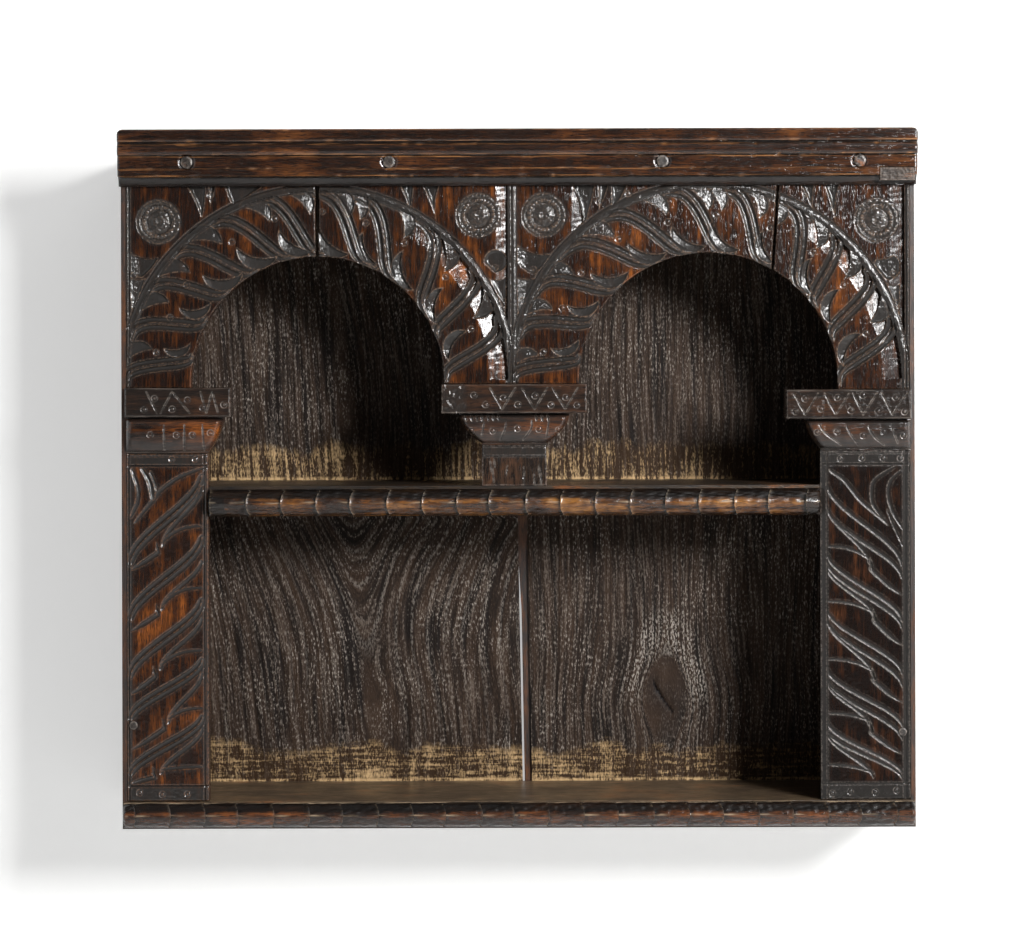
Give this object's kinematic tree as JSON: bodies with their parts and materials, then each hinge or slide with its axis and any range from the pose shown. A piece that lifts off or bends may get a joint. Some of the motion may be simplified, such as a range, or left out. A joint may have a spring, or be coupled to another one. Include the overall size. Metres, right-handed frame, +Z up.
{
  "type": "wall display case",
  "caption": "Open hanging oak case with a carved double arch over two tiers, capitals on carved pilasters, a moulded cornice and scale-carved shelf and foot edges.",
  "frame": {"origin": "middle of the bounding box at the foot of the case", "axes": "+X to the right, +Y towards the wall, +Z up; the carved front looks along -Y"},
  "size_m": [0.68, 0.16, 0.596],
  "materials": {
    "carved_oak": "near-black waxed oak, reddish brown on the worn flats and orange on the worn arrises",
    "edge_oak": "dark waxed oak worn orange-brown on the noses of the scales",
    "board_oak": "dark brown waxed oak board, dry on the hidden faces",
    "back_oak": "coarse grey-brown oak board with dusty grain and a rubbed pale band at the foot of each tier",
    "worn_oak": "rough grey end-grain oak",
    "peg_oak": "dark waxed oak end grain",
    "nail_iron": "blackened wrought iron"
  },
  "bodies": {
    "root": {"cornice_moulding": "carved_oak", "cornice_patch": "worn_oak", "top_board": "board_oak", "left_side_board": "board_oak", "right_side_board": "board_oak", "bottom_board": "board_oak", "middle_shelf": "board_oak", "back_board_left": "back_oak", "back_board_right": "back_oak", "back_filler_strip": "back_oak", "arcade_board_left": "carved_oak", "arcade_board_centre": "carved_oak", "arcade_board_right": "carved_oak", "left_impost_block": "carved_oak", "centre_impost_block": "carved_oak", "right_impost_block": "carved_oak", "left_capital": "carved_oak", "centre_capital": "carved_oak", "right_capital": "carved_oak", "centre_stub_pilaster": "carved_oak", "left_pilaster": "carved_oak", "right_pilaster": "carved_oak", "shelf_edge_moulding": "edge_oak", "base_moulding": "edge_oak", "cornice_pegs": "peg_oak", "pilaster_pegs": "peg_oak", "back_board_nails": "nail_iron", "shelf_nails": "nail_iron", "top_board_nails": "nail_iron", "bottom_board_nails": "nail_iron", "base_moulding_brads": "nail_iron", "shelf_moulding_brads": "nail_iron"}
  },
  "joints": []
}
